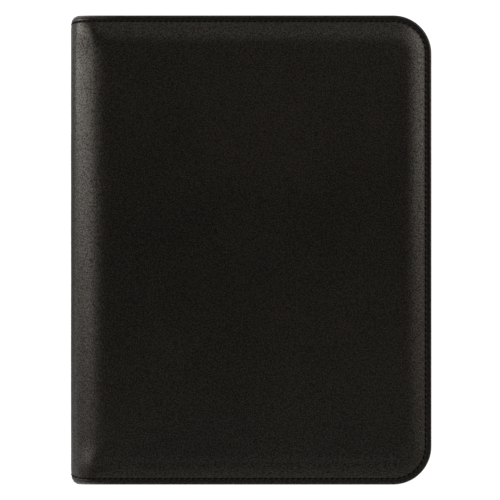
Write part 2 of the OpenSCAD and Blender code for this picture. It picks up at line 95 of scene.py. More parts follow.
def wrap(s, y, depth, front=True):
    """Places of flat-cut points on the closed case, for the front half or the back half of the leather."""
    s, y, depth = np.broadcast_arrays(*(np.asarray(a, float) for a in (s, y, depth)))
    turn = np.clip((s - S_SPINE) / BEND_R, 0, math.pi / 2)
    radius = BEND_R - depth
    x = X_BEND - radius * np.cos(turn) + np.maximum(s - S_PANEL, 0)
    z = CASE_T - BEND_R + radius * np.sin(turn) + np.minimum(s - S_SPINE, 0)
    return np.stack([x, y, z if front else CASE_T - z], axis=-1)


def edge_distance(s, y):
    """How far a place on the flat cut lies from its edge, which has two round corners and is open at the spine."""
    across, along = s - S_CORNER, np.abs(y) - CORNER_Y
    inside = np.maximum(across, along)
    return CORNER_R - np.where((across > 0) & (along > 0), np.hypot(across, along), inside)


print("leather from the spine's middle to the free edge in mm:", round(1000 * (S_CORNER + CORNER_R), 1))

# %% [markdown]
# ## Working by hand, in code
# Modelling here follows what a person does in edit mode: add a primitive, pick some edges, extrude, spin.
# An operator acts on whatever is selected, and loading the frame leaves the CAD parts selected, so each
# piece starts by deselecting everything. Edges are then picked by their place.

# %% Helpers for edit mode
TINY = 1e-6


def object_mode():
    if bpy.context.object and bpy.context.object.mode != "OBJECT":
        bpy.ops.object.mode_set(mode="OBJECT")


def deselect_all():
    object_mode()
    bpy.ops.object.select_all(action="DESELECT")


def named(name):
    """The primitive that was just added, under its own name, in edit mode."""
    obj = bpy.context.object
    obj.name = obj.data.name = name
    bpy.ops.object.mode_set(mode="EDIT")
    return obj


def add_grid(name, low, high, columns, rows):
    deselect_all()
    bpy.ops.mesh.primitive_grid_add(x_subdivisions=columns, y_subdivisions=rows, size=1)
    obj = named(name)
    bpy.ops.transform.resize(value=(high[0] - low[0], high[1] - low[1], 1))
    bpy.ops.transform.translate(value=((low[0] + high[0]) / 2, (low[1] + high[1]) / 2, 0))
    return obj


def places(obj):
    co = np.empty(len(obj.data.vertices) * 3)
    obj.data.vertices.foreach_get("co", co)
    return co.reshape(-1, 3)


def move_to(obj, co):
    object_mode()
    obj.data.vertices.foreach_set("co", np.ascontiguousarray(co, float).ravel())
    obj.data.update()


def pick_edges(obj, test):
    """Selects the edges whose two ends pass a test on their places, and goes back to edit mode."""
    object_mode()
    mesh = obj.data
    good = test(places(obj))
    ends = np.empty(len(mesh.edges) * 2, np.int32)
    mesh.edges.foreach_get("vertices", ends)
    chosen = good[ends].reshape(-1, 2).all(axis=1)
    touched = np.zeros(len(mesh.vertices), bool)
    touched[ends.reshape(-1, 2)[chosen].ravel()] = True
    mesh.vertices.foreach_set("select", touched)
    mesh.edges.foreach_set("select", chosen)
    mesh.polygons.foreach_set("select", np.zeros(len(mesh.polygons), bool))
    bpy.ops.object.mode_set(mode="EDIT")
    bpy.context.tool_settings.mesh_select_mode = (False, True, False)


def extrude(*moves):
    for move in moves:
        bpy.ops.mesh.extrude_region_move(TRANSFORM_OT_translate={"value": move})


# %% [markdown]
# ### Round corners and thickness
# Most soft pieces are rectangles with round corners. Cut from one big plane, their rows of faces would not
# follow the edge. So the sides are extruded row by row, and each corner is spun from the ends of those rows.
# A sheet then gets its thickness from a Solidify modifier, which is applied.


# %% Helpers that finish a mesh
def weld(distance):
    """Merges the active object's doubles and turns its faces the same way."""
    bpy.ops.object.mode_set(mode="EDIT")
    bpy.ops.mesh.select_all(action="SELECT")
    bpy.ops.mesh.remove_doubles(threshold=distance)
    bpy.ops.mesh.normals_make_consistent(inside=False)
    object_mode()


def round_sides(obj, rows, steps, sides, corners):
    """Extrudes sides of a rectangle outwards, row by row, each a reach and a height, then spins its corners."""
    object_mode()
    low, high = places(obj).min(axis=0), places(obj).max(axis=0)

    def within(co):
        return ((co[:, :2] > low[:2] - TINY) & (co[:, :2] < high[:2] + TINY)).all(axis=1)

    for axis, end in sides:
        edge = high[axis] if end > 0 else low[axis]
        pick_edges(obj, lambda co: within(co) & (np.abs(co[:, axis] - edge) < TINY))
        reach, height = 0.0, 0.0
        for r, h in rows:
            move = [0, 0, h - height]
            move[axis] = end * (r - reach)
            extrude(move)
            reach, height = r, h
    for across, along in corners:
        x, y = (high[0] if across > 0 else low[0]), (high[1] if along > 0 else low[1])
        pick_edges(obj, lambda co: (np.abs(co[:, 0] - x) < TINY) & (along * (co[:, 1] - y) > -TINY))
        bpy.ops.mesh.spin(steps=steps, angle=across * along * math.pi / 2, center=(x, y, 0), axis=(0, 0, 1))
    weld(0.02 * MM)


def face_along(obj, direction, spot):
    """Flips the faces if the one nearest a spot looks away from a direction."""
    object_mode()
    near = min(obj.data.polygons, key=lambda p: (p.center - Vector(spot)).length)
    if near.normal.dot(Vector(direction)) < 0:
        bpy.ops.object.select_all(action="DESELECT")
        bpy.context.view_layer.objects.active = obj
        bpy.ops.object.mode_set(mode="EDIT")
        bpy.ops.mesh.select_all(action="SELECT")
        bpy.ops.mesh.flip_normals()
        object_mode()


def smooth(obj):
    object_mode()
    obj.data.polygons.foreach_set("use_smooth", np.ones(len(obj.data.polygons), bool))
    obj.data.update()


def thicken(obj, thickness, offset, finish):
    """Gives a sheet its thickness, smooth shading and a finish."""
    object_mode()
    bpy.context.view_layer.objects.active = obj
    added = obj.modifiers.new("Solidify", "SOLIDIFY")
    added.thickness, added.offset = thickness, offset
    bpy.ops.object.modifier_apply(modifier=added.name)
    smooth(obj)
    finish.on(obj)


def twin(obj, name):
    """A copy with its own mesh."""
    other = obj.copy()
    other.data = obj.data.copy()
    other.name = other.data.name = name
    bpy.context.scene.collection.objects.link(other)
    return other


# %% [markdown]
# ## Finishes
# A material is a small program. `Value` wraps one output of a node, so that shader maths reads like any
# other maths: `0.4 + 0.1 * grain` adds its own Math nodes. `node` makes every other node, for the materials
# and for the sky. A `Finish` is one material.


# %% Shader maths as Python
class Value:
    def __init__(self, nodes, socket):
        self.nodes, self.socket = nodes, socket

    def _math(self, operation, a, b):
        return self.nodes.node("ShaderNodeMath", {"operation": operation}, {0: a, 1: b})

    def __add__(self, other):
        return self._math("ADD", self, other)

    def __sub__(self, other):
        return self._math("SUBTRACT", self, other)

    def __rsub__(self, other):
        return self._math("SUBTRACT", other, self)

    def __mul__(self, other):
        return self._math("MULTIPLY", self, other)

    __radd__, __rmul__ = __add__, __mul__


def set_stops(stops, wanted):
    """Gives a colour ramp its stops, each a position and a colour."""
    stops.remove(stops[1])
    for i, (position, colour) in enumerate(wanted):
        stop = stops.new(position) if i else stops[0]
        stop.position, stop.color = position, colour


class Nodes:
    """A node tree, of a material or of the world."""

    def __init__(self, tree):
        self.tree = tree

    def node(self, kind, settings=None, inputs=None, out=0):
        made = self.tree.nodes.new(kind)
        for key, value in (settings or {}).items():
            if key == "stops":
                set_stops(made.color_ramp.elements, value)
            else:
                setattr(made, key, value)
        for key, value in (inputs or {}).items():
            self.join(made.inputs[key], value)
        return Value(self, made.outputs[out])

    def join(self, socket, value):
        if isinstance(value, Value):
            self.tree.links.new(value.socket, socket)
        else:
            socket.default_value = value

    def mix(self, factor, first, second):
        """A blend of two colours."""
        return self.node("ShaderNodeMix", {"data_type": "RGBA"}, {0: factor, 6: first, 7: second}, out=2)


class Finish(Nodes):
    """A material with one Principled shader."""

    def __init__(self, name, **fixed):
        self.material = bpy.data.materials.new(name)
        self.material.use_nodes = True
        super().__init__(self.material.node_tree)
        self.shader = self.tree.nodes["Principled BSDF"]
        self.object_spot = self.node("ShaderNodeTexCoord", out="Object")
        self.feed(**fixed)

    def feed(self, **sockets):
        for key, value in sockets.items():
            self.join(self.shader.inputs[key.replace("_", " ")], value)

    def tint(self, factor, dark, light):
        return self.mix(factor, (*dark, 1), (*light, 1))

    def noise(self, scale, detail, spot=None, out=0):
        inputs = {"Vector": spot or self.object_spot, "Scale": scale, "Detail": detail}
        return self.node("ShaderNodeTexNoise", None, inputs, out)

    def cells(self, scale, feature="F1", spot=None):
        inputs = {"Vector": spot or self.object_spot, "Scale": scale}
        return self.node("ShaderNodeTexVoronoi", {"feature": feature}, inputs, out="Distance")

    def bump(self, height, strength, distance):
        return self.node("ShaderNodeBump", None, {"Strength": strength, "Distance": distance, "Height": height})

    def stretched(self, scale):
        """Coordinates scaled by a different number each way."""
        return self.node("ShaderNodeMapping", None, {"Vector": self.object_spot, "Scale": scale})

    def on(self, *pieces):
        for piece in pieces:
            piece.data.materials.clear()
            piece.data.materials.append(self.material)


# %% [markdown]
# ### Black leather
# The cover is smooth leather, a warm black, with a fine pebbled grain of about a millimetre. Pebbles are Voronoi
# cells whose coordinates are nudged by noise, so that they don't look like tiles. On black leather the grain
# shows mostly as a change in shine, so a clear coat comes and goes with it, and colour and bump follow.
# Two values painted on the mesh change the finish near the edge. The rim's value flattens the grain on the
# turned rim and darkens its colour, a painted shade. The groove's value takes the shine off the groove of the
# seam and darkens its colour, a painted shade in the groove.


# %% Leather
def leather(name, dark, light, rough, grain, depth):
    f = Finish(name, Specular_IOR_Level=0.28, Specular_Tint=(1.0, 0.83, 0.66, 1), Coat_Roughness=0.22)
    pressed_and_shaded, sewn = (
        f.node("ShaderNodeAttribute", {"attribute_name": value}, out="Fac") for value in ("pressed_and_shaded", "sewn")
    )
    size = grain * MM
    inputs = {0: f.noise(0.4 / size, 2.0, out="Color"), 1: (size,) * 3, 2: f.object_spot}
    drift = f.node("ShaderNodeVectorMath", {"operation": "MULTIPLY_ADD"}, inputs)
    pebble = f.cells(1 / size, "F1", drift)
    crease = f.cells(0.42 / size, "DISTANCE_TO_EDGE", drift)
    clump = f.noise(1.05 / size, 2.0)
    patch = f.noise(12.0, 3.0)
    clump_off, pebble_off = clump - 0.5, pebble - 0.42
    # The seam's groove is made darker in colour here: painted shade in the groove.
    # The turned rim is made darker in colour here: painted shade.
    lightness = 0.46 + 3.0 * clump_off + 0.9 * (patch - 0.5) - 2.4 * pebble_off - 0.2 * pressed_and_shaded - 0.7 * sewn
    coat = 0.48 + clump_off - 1.2 * pebble_off + 0.06 * pressed_and_shaded
    relief = clump * 1.5 - pebble * 0.9 + crease * 0.5
    f.feed(
        Base_Color=f.tint(lightness, dark, light),
        Roughness=rough + 0.14 * pebble + 0.06 * patch - 0.04 * pressed_and_shaded + 0.25 * sewn,
        Coat_Weight=coat * (1 - sewn),
        Normal=f.bump(relief * (1 - 0.7 * pressed_and_shaded), 1.0, depth * MM),
    )
    return f


LEATHERS = (
    # name, dark, light, roughness, size and depth of the grain in mm
    ("black_leather", (0.0004, 0.0004, 0.0003), (0.0092, 0.0077, 0.0068), 0.17, 1.0, 0.075),
    ("smooth_pocket_leather", (0.0060, 0.0055, 0.0050), (0.0140, 0.0130, 0.0120), 0.34, 0.8, 0.03),
)
cover_leather, pocket_leather = (leather(*row) for row in LEATHERS)
print("leathers:", ", ".join(row[0] for row in LEATHERS))

# %% [markdown]
# ### Thread, cloth, tape and elastic
# Thread is a dull black with the lay of its strands. The lining is a fine twill. Each yarn could be modelled,
# but at this size two crossed wave textures say the same. The zip tape and the elastic carry UV coordinates
# in metres, along the strip and across it, so that their ribs follow the strip round the corners.


# %% Thread and cloth
def twill(name, spot_name, pitch, dark, light, rough, depth, sheen):
    f = Finish(name, Sheen_Weight=sheen, Sheen_Roughness=0.4, Specular_IOR_Level=0.25)
    spot = f.node("ShaderNodeTexCoord", out=spot_name)
    waves = []
    for turn in (0.62, -0.95):
        turned = f.node("ShaderNodeMapping", None, {"Vector": spot, "Rotation": (0, 0, turn)})
        inputs = {"Vector": turned, "Scale": 0.314 / (pitch * MM)}
        inputs |= {"Distortion": 0.6, "Detail": 1.0, "Detail Scale": 2.0}
        waves.append(f.node("ShaderNodeTexWave", {"wave_profile": "SIN"}, inputs, out="Fac"))
    weave = waves[0] * 0.65 + waves[1] * 0.35
    fuzz = f.noise(2600.0, 2.0)
    f.feed(
        Base_Color=f.tint(weave * 0.7 + fuzz * 0.3, dark, light),
        Roughness=rough + 0.15 * fuzz,
        Normal=f.bump(weave + fuzz * 0.3, 0.5, depth * MM),
    )
    return f


CLOTHS = (
    # name, coordinates, pitch in mm, dark, light, roughness, depth in mm, sheen
    ("lining_cloth", "Object", 0.8, (0.007, 0.007, 0.008), (0.022, 0.022, 0.024), 0.72, 0.10, 0.08),
    ("zip_tape_cloth", "UV", 0.9, (0.006, 0.006, 0.006), (0.020, 0.020, 0.020), 0.68, 0.12, 0.05),
    ("elastic_cloth", "UV", 1.1, (0.006, 0.006, 0.007), (0.024, 0.024, 0.026), 0.7, 0.18, 0.05),
)
lining_cloth, tape_cloth, elastic_cloth = (twill(*row) for row in CLOTHS)

thread = Finish("black_thread", Specular_IOR_Level=0.04)
lay = thread.noise(1800.0, 2.0)
thread.feed(
    Base_Color=thread.tint(lay, (0.0013, 0.0013, 0.0012), (0.0042, 0.0040, 0.0037)),
    Roughness=0.6 + 0.25 * lay,
    Normal=thread.bump(lay, 0.4, 0.05 * MM),
)
print("cloths:", ", ".join(row[0] for row in CLOTHS))

# %% [markdown]
# ### Metal, board and foam
# The ring mechanism is nickel plated: bright, with a soft brushed haze along its length. The slider is duller,
# and the teeth are darker still. Board and foam are hidden in the finished binder, but they get materials too.


# %% Metal, board and foam
def plated(name, dark, light, rough, brushed):
    f = Finish(name, Metallic=1.0)
    haze = f.noise(60.0, 3.0, f.stretched(brushed))
    cloud = f.noise(45.0, 3.0)
    f.feed(
        Base_Color=f.tint(cloud, dark, light),
        Roughness=rough + 0.10 * haze + 0.06 * cloud,
        Normal=f.bump(haze, 0.12, 0.02 * MM),
    )
    return f


def plain_core(name, dark, light, scale, rough, depth):
    f = Finish(name, Specular_IOR_Level=0.2)
    fleck, clump = f.noise(scale, 3.0), f.cells(scale * 0.7)
    f.feed(
        Base_Color=f.tint(fleck, dark, light),
        Roughness=rough + 0.1 * fleck,
        Normal=f.bump(fleck + clump * 0.5, 0.4, depth),
    )
    return f


nickel = plated("nickel_plate", (0.50, 0.49, 0.47), (0.62, 0.61, 0.585), 0.20, (8.0, 1.0, 8.0))
zip_metal = plated("slider_metal", (0.30, 0.295, 0.285), (0.42, 0.41, 0.40), 0.24, (6.0, 6.0, 6.0))
tooth_metal = plated("tooth_metal", (0.105, 0.10, 0.097), (0.18, 0.175, 0.17), 0.30, (6.0, 6.0, 6.0))
lever_metal = plated("lever_metal", (0.46, 0.45, 0.43), (0.58, 0.57, 0.55), 0.24, (6.0, 6.0, 1.0))
board_grey = plain_core("grey_board", (0.20, 0.17, 0.13), (0.33, 0.29, 0.23), 900.0, 0.8, 0.1 * MM)
foam_cream = plain_core("cream_foam", (0.62, 0.56, 0.42), (0.78, 0.73, 0.60), 1400.0, 0.85, 0.2 * MM)

for finish, nodes in (
    (nickel, ("ring_plate", "plate_rivets", "left_blade", "right_blade", "lever_pins")),
    (nickel, [f"{side}_ring_{i}" for side in ("left", "right") for i in (1, 2, 3)]),
    (lever_metal, ("top_lever", "bottom_lever")),
    (zip_metal, ("zip_slider", "zip_puller", "front_zip_stop", "back_zip_stop", "zip_end_stop")),
    (tooth_metal, [f"{side}_zip_teeth{run}" for side in ("front", "back") for run in ("", "_run")]),
    (board_grey, ("front_board", "back_board", "spine_stiffener")),
    (foam_cream, ("front_foam", "back_foam")),
    (cover_leather, ("front_cover_leather", "back_cover_leather", "spine_leather", "zip_end_tabs")),
    (pocket_leather, ("document_pocket", "card_pockets")),
    (lining_cloth, ("front_lining", "back_lining", "spine_lining")),
    (tape_cloth, ("front_zip_tape", "back_zip_tape")),
    (elastic_cloth, ("pen_loop",)),
):
    finish.on(*(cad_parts[n] for n in nodes))
print("CAD nodes with a finish:", len(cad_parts))

# %% [markdown]
# ## The padded leather cover
# The real cover is one hide, cut flat, wrapped round both boards and the spine, with foam under each panel.
# Its edge is turned in, and one seam runs 4 mm inside the edge and pulls the padding down into a crown.
# It is modelled flat, the way it is cut: a grid for the panel, rows extruded outwards down the crown, over
# the edge and back under it, and the two free corners spun from the ends of those rows. Cloth simulation would
# swell the panel off its board, so the crown's shape is given row by row.

# %% The flat half cover
COLUMNS, ROWS, CORNER_STEPS = 123, 142, 18
WHOLE_STEPS = 2 * COLUMNS + 2 * CORNER_STEPS + ROWS
# Distances from the edge in mm, then depths of the skin in mm at the distances of the rim.
CROWN_D = [24, 21, 18.5, 16.5, 14.5, 12.5, 10.5, 8.6, 7.0, 5.9, 5.1]
RIM_D = [0, 0.12, 0.42, 0.75, 1.0, 2.1, 3.1, 3.6, 4.0, 4.5]
PANEL_RIM = [4.2, 3.6, 3.18, 3.04, 3.0, 2.98, 3.0, 3.08, 3.3, 2.84]
SPINE_RIM = [4.6, 4.3, 3.8, 2.7, 2.05, 0.6, 0.45, 0.5, 0.9, 0.42]
# The hem turned in under the edge: distance from the edge and depth in mm.
HEM_ROWS = [(0.16, 4.8), (0.6, 5.24), (1.2, 5.4), (5, 5.4), (10, 5.4)]


def crown(d, width=19.5 * MM, drop=3.0 * MM, fullness=0.88):
    """Depth of the padded panel at a distance from the edge."""
    rise = np.clip((d - SEAM) / (width - SEAM), 0, 1)
    return drop * (1 - np.sin(rise * math.pi / 2) ** fullness)


def rim_depth(d, depths=PANEL_RIM):
    """Depth of the skin outside the seam: a round edge, a flat rim and the groove of the seam."""
    return np.interp(d / MM, RIM_D, depths) * MM


rows = [(CORNER_R - d * MM, -float(crown(d * MM))) for d in CROWN_D]
rows += [(CORNER_R - d * MM, -float(rim_depth(d * MM))) for d in reversed(RIM_D)]
rows += [(CORNER_R - d * MM, -h * MM) for d, h in HEM_ROWS]
flat = add_grid("flat_half_cover", (0, -CORNER_Y), (S_CORNER, CORNER_Y), COLUMNS, ROWS)
round_sides(flat, rows, CORNER_STEPS, ((1, 1), (1, -1), (0, 1)), ((1, 1), (1, -1)))
face_along(flat, (0, 0, 1), (0.1, 0, 0))
print("flat half cover:", len(flat.data.vertices), "vertices,", len(flat.data.polygons), "faces")

# %% [markdown]
# ### Pulling the leather into shape
# Several things happen to the flat half before it is wrapped. Over the spine there is no foam, so the crown is
# narrower there, the ends are rounder and the seam is drawn in from the edge. Where the bend meets the panel it
# lies a little inside a true quarter circle. The thread pulls the leather down on the seam's inner side, and
# its needle holes, one each 4 mm, leave puckers. And hide over foam is never quite level, so a slow noise of
# a tenth of a millimetre lifts and lowers it. All this could be sculpted by hand, but functions of the place
# on the flat cut also tell where each stitch has to lie.

# %% Spine ends, puckers and the hide's own waves
TOP_DEPTH = 4.21 * MM
CROWN_FROM = 4.45 * MM
HEAD_DRAW, FOOT_DRAW = 2 * MM, 3 * MM


def steps_along(s, y):
    """Place along the seam, counted in columns of the grid: a needle hole lies at every even number."""
    across, along = np.maximum(s - S_CORNER, 0), np.maximum(np.abs(y) - CORNER_Y, 0)
    turn = np.arctan2(across, along) / (math.pi / 2)
    upper = np.where(s <= S_CORNER, s / S_CORNER * COLUMNS, COLUMNS + turn * CORNER_STEPS)
    side = COLUMNS + CORNER_STEPS + (CORNER_Y - y) / (2 * CORNER_Y) * ROWS
    on_side = np.abs(y) < CORNER_Y
    return np.where(on_side, side, np.where(y > 0, upper, WHOLE_STEPS - upper))


def ease(t):
    """A smooth step from 0 to 1."""
    t = np.clip(t, 0, 1)
    return t * t * (3 - 2 * t)


def spine_end(d):
    """Depth of the skin at the ends of the spine, where the leather has no foam under it."""
    return np.where(d > CROWN_FROM, crown(d, 9 * MM, 0.5 * MM, 0.7), rim_depth(d, SPINE_RIM))


def drawn_in(s, y, d):
    """Place of the skin along y, with the seam drawn in from the edge at both ends of the spine."""
    share = ease(d / (3 * MM)) * (1 - ease((d - 5 * MM) / (18 * MM)))
    return y - np.where(y > 0, HEAD_DRAW, -FOOT_DRAW) * (1 - ease(s / (24 * MM))) * share


def skin_depth(s, y, d, depth):
    """Depth of the pulled skin, from its distance to the edge and its depth on the flat half."""
    onto_panel = ease((s - 8 * MM) / (40 * MM))
    top = depth < TOP_DEPTH
    shaped = np.where(top, depth * onto_panel + spine_end(d) * (1 - onto_panel), depth)
    near_seam = np.exp(-(((d - SEAM) / (1.2 * MM)) ** 2)) * (d > 2.2 * MM)
    pulled = 0.35 * onto_panel * ease((d - SEAM) / (0.5 * MM))
    pucker = (pulled + 0.08 * np.cos(math.pi * steps_along(s, y))) * MM * near_seam
    past = (s - S_PANEL) / MM
    bend = 1.6 * MM * ease((past + 22) / 16) / (1 + np.exp((past - 0.5) / 2.8))
    return np.where(top, shaped + pucker + bend * ease((d - 4.5 * MM) / (28 * MM)), shaped)


def hide_wave(s, y, d, seed):
    """Height of the hide's own waves, in two sizes, which fade out towards the seam."""
    wave = [
        noise.noise(Vector((30 * a, 24 * b, seed))) + 0.5 * noise.noise(Vector((70 * a, 60 * b, seed + 5)))
        for a, b in zip(s, y)
    ]
    return 0.10 * MM * np.array(wave) * ease((d - 8 * MM) / (20 * MM))


print("crown 6 mm from the edge, in mm:", round(float(crown(6 * MM)) / MM, 2))

# %% [markdown]
# ### Front and back
# The same flat half dresses both covers. Each copy is wrapped, painted with the two values that the leather's
# finish reads, and given its thickness.

# %% Both halves of the leather
STITCH_IN = SEAM + 0.2 * MM


def dress_half(name, front, seed):
    obj = twin(flat, name)
    s, y, z = places(obj).T
    d, depth = edge_distance(s, y), -z
    skin = skin_depth(s, y, d, depth) - hide_wave(s, y, d, seed)
    move_to(obj, wrap(s, np.where(depth < TOP_DEPTH, drawn_in(s, y, d), y), skin, front))
    for value, amount in (
        # The first value marks the turned rim, where the grain is flattened and shade is painted.
        ("pressed_and_shaded", 1 - ease((d - 3.6 * MM) / (2.2 * MM))),
        # The second value marks the seam's groove, which loses its shine and gets painted shade.
        ("sewn", np.exp(-(((d - STITCH_IN) / (1.1 * MM)) ** 2))),
    ):
        shade = obj.data.attributes.new(value, "FLOAT", "POINT")
        shade.data.foreach_set("value", amount.astype(np.float32))
    face_along(obj, (0, 0, 1 if front else -1), (0.05, 0, CASE_T if front else 0))
    thicken(obj, 1.0 * MM, -1, cover_leather)
    pick_edges(obj, lambda co: np.abs(co[:, 2] - MID_Z) < 0.05 * MM)
    bpy.ops.mesh.mark_sharp()
    object_mode()
    return obj


def bend_front(obj):
    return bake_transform(obj)


def bend_back(obj):
    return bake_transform(obj)


front_leather = bend_front(dress_half("front_leather", True, 3.0))
back_leather = bend_back(dress_half("back_leather", False, 11.0))
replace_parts(front_leather, "front_cover_leather", "front_foam", "spine_leather")
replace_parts(back_leather, "back_cover_leather", "back_foam", "spine_leather")
print("front leather:", len(front_leather.data.polygons), "faces")

# %% [markdown]
# ### The seam
# One stitch is a ball drawn out into a grain of rice, flattened where it lies in the groove. A curve with a
# round bevel would give one long cord, with no dip at the needle holes. So the stitch is modelled once, copied
# from hole to hole with a mesh of its own each time, and joined into one thread.


# %% One stitch and its copies
def make_stitch(length, width):
    deselect_all()
    bpy.ops.mesh.primitive_uv_sphere_add(segments=8, ring_count=6, radius=1)
    obj = named("one_stitch")
    bpy.ops.transform.rotate(value=math.pi / 2, orient_axis="Y", center_override=(0, 0, 0))
    bpy.ops.transform.resize(value=(length / 2, width / 2, width / 2))
    object_mode()
    co = places(obj)
    co[:, 2] = np.maximum(co[:, 2], -0.3 * width)
    co[:, 2] -= 0.35 * width * (co[:, 0] / (length / 2)) ** 2
    move_to(obj, co)
    smooth(obj)
    return obj


def sew(stitch, name, spots):
    """Copies of a stitch, each turned and placed by a matrix, joined into one thread."""
    deselect_all()
    copies = []
    for i, spot in enumerate(spots):
        one = twin(stitch, f"{name}_{i}")
        one.data.transform(spot)
        one.select_set(True)
        copies.append(one)
    bpy.context.view_layer.objects.active = copies[0]
    bpy.ops.object.join()
    copies[0].name = copies[0].data.name = name
    thread.on(copies[0])
    return copies[0]


def standing(place, along, up, slant):
    """A matrix that sets a piece down at a place, its x axis along a seam and its z axis up from the skin."""
    x = Vector(along).normalized()
    z = Vector(up)
    z = (z - x * z.dot(x)).normalized()
    turned = Matrix((x, z.cross(x), z)).transposed() @ Matrix.Rotation(slant, 3, "Z")
    return Matrix.Translation(Vector(place)) @ turned.to_4x4()


one_stitch = make_stitch(3.7 * MM, 1.0 * MM)
print("one stitch:", len(one_stitch.data.vertices), "vertices")

# %% The seam round the cover
SEAM_STEPS = range(1, WHOLE_STEPS, 2)
SEAM_SLANT = 0.26


def around_cut(step, inset):
    """Flat-cut place of a point that is a number of columns along the seam and a distance in from the edge."""
    mirrored = step > WHOLE_STEPS / 2
    step = WHOLE_STEPS - step if mirrored else step
    radius = CORNER_R - inset
    if step <= COLUMNS:
        s, y = step / COLUMNS * S_CORNER, CORNER_Y + radius
    elif step <= COLUMNS + CORNER_STEPS:
        turn = (step - COLUMNS) / CORNER_STEPS * math.pi / 2
        s, y = S_CORNER + radius * math.sin(turn), CORNER_Y + radius * math.cos(turn)
    else:
        s, y = S_CORNER + radius, CORNER_Y - (step - COLUMNS - CORNER_STEPS) / ROWS * 2 * CORNER_Y
    return s, (-y if mirrored else y)


def skin_at(step, inset, front, lift=0.0):
    """Place on the finished skin, or a little above it."""
    s, y = (np.array([v]) for v in around_cut(step, inset))
    d = edge_distance(s, y)
    depth = skin_depth(s, y, d, rim_depth(d) if inset < CROWN_FROM else crown(d))
    return Vector(wrap(s, drawn_in(s, y, d), depth - lift, front)[0])


def seam_spots(front):
    spots = []
    for step in SEAM_STEPS:
        place = skin_at(step, STITCH_IN, front, 0.15 * MM)
        along = skin_at(step + 0.9, STITCH_IN, front) - skin_at(step - 0.9, STITCH_IN, front)
        across = skin_at(step, SEAM + 0.9 * MM, front) - skin_at(step, SEAM - 0.9 * MM, front)
        up = along.cross(across)
        outward = Vector((0, 0, 1 if front else -1))
        if place.x < X_BEND:
            outward = Vector((place.x - X_BEND, 0, place.z - (CASE_T - BEND_R if front else BEND_R)))
        if up.dot(outward) < 0:
            up = -up
        spots.append(standing(place, along, up, SEAM_SLANT if front else -SEAM_SLANT))
    return spots


bend_front(sew(one_stitch, "front_seam", seam_spots(True)))
bend_back(sew(one_stitch, "back_seam", seam_spots(False)))
print("stitches in each half of the seam:", len(SEAM_STEPS))

# %% [markdown]
# ## The lining
# Inside, a thin twill is glued over the boards and runs on across the spine. It reaches to the leather's hem, and
# at the inner edge of each board it dips into the gutter of the hinge. A plain grid would need small faces all
# over to bend that sharply. So it is made like the leather, and only its columns at the hinge are crowded
# together before it is wrapped.

# %% Lining, front and back
GUTTER = 2.8 * MM
COVER_T = 6.0 * MM
LINING_IN = 10.25 * MM
LINING_HALF = CASE_H / 2 - LINING_IN
SPINE_HALF = LINING_HALF + 1 * MM
lining_columns = np.concatenate(
    [
        np.linspace(0, S_PANEL - 2.4 * MM, 15),
        np.linspace(S_PANEL - 1.9 * MM, S_PANEL + 0.4 * MM, 12),
        np.linspace(S_PANEL + 3 * MM, S_CORNER, 54),
    ]
)


def make_lining(name, front):
    count = len(lining_columns) - 1
    obj = add_grid(name, (0, -CORNER_Y), (S_CORNER, CORNER_Y), count, 70)
    rows = [(CORNER_R - d * MM, 0) for d in (22, 16, 12, 10.9, 10.25)]
    round_sides(obj, rows, 12, ((1, 1), (1, -1), (0, 1)), ((1, 1), (1, -1)))
    s, y, _ = places(obj).T
    at_edge = edge_distance(s, y) < LINING_IN + 0.1 * MM
    s = np.where(s <= S_CORNER, np.interp(s, np.linspace(0, S_CORNER, count + 1), lining_columns), s)
    over_stiffener = 1 - ease((s - S_PANEL + 9 * MM) / (8 * MM))
    tucked = (0.35 + 1.1 * over_stiffener) * MM * at_edge
    y = y * (LINING_HALF + (SPINE_HALF - LINING_HALF) * over_stiffener) / LINING_HALF
    dip = ease((s - S_PANEL + 1.6 * MM) / (1.4 * MM))
    move_to(obj, wrap(s, y, GUTTER + (COVER_T - GUTTER) * dip - tucked, front))
    face_along(obj, (0, 0, -1 if front else 1), (0.05, 0, CASE_T - COVER_T if front else COVER_T))
    thicken(obj, 0.5 * MM, -1, lining_cloth)
    cut = (S_CORNER + CORNER_R - LINING_IN, CASE_H - 2 * LINING_IN)
    return obj


front_cloth = bend_front(make_lining("front_cloth", True))
back_cloth = bend_back(make_lining("back_cloth", False))
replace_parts(front_cloth, "front_lining", "spine_lining")
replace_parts(back_cloth, "back_lining", "spine_lining")
print("lining faces:", len(front_cloth.data.polygons))

# %% [markdown]
# ## The zip tapes
# A zip tape is a woven strip, folded into an L: a flange sewn under the leather's hem, and a wall that runs
# down to the teeth. A section swept along a curve would do too, but here each stretch has its own steps. The
# foot-edge stretch is a grid bent into that section. Its end is spun round the corner, extruded up the free
# side, spun and extruded back. At the spine each tape ends in a round lobe.

# %% Tapes, front and back
TAPE_SECTION = MM * np.array(
    [
        (22.8, 22.72), (22.8, 24.6), (22.8, 27.0), (22.8, 29.6), (22.8, 32.2), (22.8, 34.4), (22.72, 35.45),
        (22.4, 36.05), (21.8, 36.3), (20.6, 36.3), (19.2, 36.3), (17.6, 36.3),
    ]
)
WALL_R, WALL_TOP = 22.8 * MM, 35.45 * MM
LOBE_W = 12.2 * MM
RUN_STEPS, TURN_STEPS, SIDE_STEPS, LOBE_STEPS = 72, 16, 96, 7


def tape_spots(co):
    """Distances along the front tape from the middle of its free side, and across it, in metres."""
    x, y = co[:, 0] - CORNER_X, np.abs(co[:, 1]) - CORNER_Y
    turn = np.arctan2(np.maximum(x, 0), np.maximum(y, 0))
    along = np.where(y <= 0, y, np.maximum(-x, 0) + (math.pi / 2 - turn) * WALL_R)
    out = np.where(y <= 0, x, np.hypot(np.maximum(x, 0), y))
    return (along + CORNER_Y) * np.sign(co[:, 1]), co[:, 2] - out


